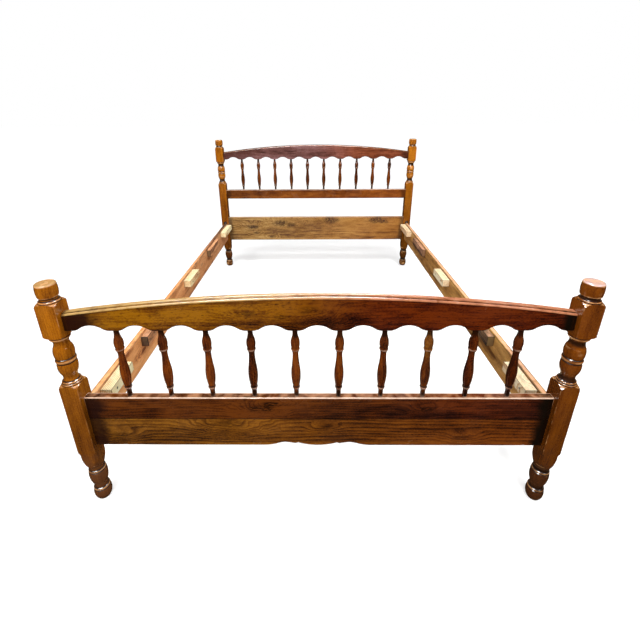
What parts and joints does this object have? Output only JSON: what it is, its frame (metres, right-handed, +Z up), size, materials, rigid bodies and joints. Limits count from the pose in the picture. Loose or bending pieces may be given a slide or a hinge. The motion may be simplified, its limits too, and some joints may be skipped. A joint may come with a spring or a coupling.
{
  "type": "poster bed",
  "caption": "Low poster bed frame with turned posts, arched and scalloped top rails over turned spindles at head and foot, and side rails that hook into the posts.",
  "frame": {"origin": "on the floor under the middle of the bed", "axes": "+X to the right seen from the foot, +Y from the foot to the head, +Z up"},
  "size_m": [1.474, 2.035, 0.9905],
  "materials": {
    "post_wood": "varnished honey maple",
    "spindle_wood": "varnished red-brown",
    "board_wood": "varnished brown",
    "rail_wood": "thin stain",
    "pine": "raw softwood",
    "block_wood": "thin stain",
    "steel": "darkened by age",
    "screw_steel": "dull zinc"
  },
  "bodies": {
    "bed_ends": {"foot_post_left": "post_wood", "foot_post_right": "post_wood", "head_post_left": "post_wood", "head_post_right": "post_wood", "foot_spindle_rail": "board_wood", "foot_top_rail": "board_wood", "foot_apron": "board_wood", "head_spindle_rail": "board_wood", "head_top_rail": "board_wood", "head_panel": "board_wood", "foot_spindle_01": "spindle_wood", "foot_spindle_02": "spindle_wood", "foot_spindle_03": "spindle_wood", "foot_spindle_04": "spindle_wood", "foot_spindle_05": "spindle_wood", "foot_spindle_06": "spindle_wood", "foot_spindle_07": "spindle_wood", "foot_spindle_08": "spindle_wood", "foot_spindle_09": "spindle_wood", "foot_spindle_10": "spindle_wood", "head_spindle_01": "spindle_wood", "head_spindle_02": "spindle_wood", "head_spindle_03": "spindle_wood", "head_spindle_04": "spindle_wood", "head_spindle_05": "spindle_wood", "head_spindle_06": "spindle_wood", "head_spindle_07": "spindle_wood", "head_spindle_08": "spindle_wood", "head_spindle_09": "spindle_wood", "head_spindle_10": "spindle_wood", "left_foot_catch_plate": "steel", "left_head_catch_plate": "steel", "right_foot_catch_plate": "steel", "right_head_catch_plate": "steel", "catch_plate_screws": "screw_steel"},
    "left_rail": {"side_rail_left": "rail_wood", "left_cleat_1": "pine", "left_cleat_2": "block_wood", "left_cleat_3": "pine", "left_cleat_4": "block_wood", "left_cleat_5": "pine", "left_foot_hook_plate": "steel", "left_head_hook_plate": "steel", "left_cleat_screws": "screw_steel", "left_hook_screws": "screw_steel"},
    "right_rail": {"side_rail_right": "rail_wood", "right_cleat_1": "pine", "right_cleat_2": "block_wood", "right_cleat_3": "pine", "right_cleat_4": "block_wood", "right_cleat_5": "pine", "right_foot_hook_plate": "steel", "right_head_hook_plate": "steel", "right_cleat_screws": "screw_steel", "right_hook_screws": "screw_steel"}
  },
  "joints": [
    {"name": "left_rail_lift", "type": "slide", "parent": "bed_ends", "child": "left_rail", "axis": [0, 0, 1], "range_m": [0, 0.012]},
    {"name": "right_rail_lift", "type": "slide", "parent": "bed_ends", "child": "right_rail", "axis": [0, 0, 1], "range_m": [0, 0.012]}
  ]
}
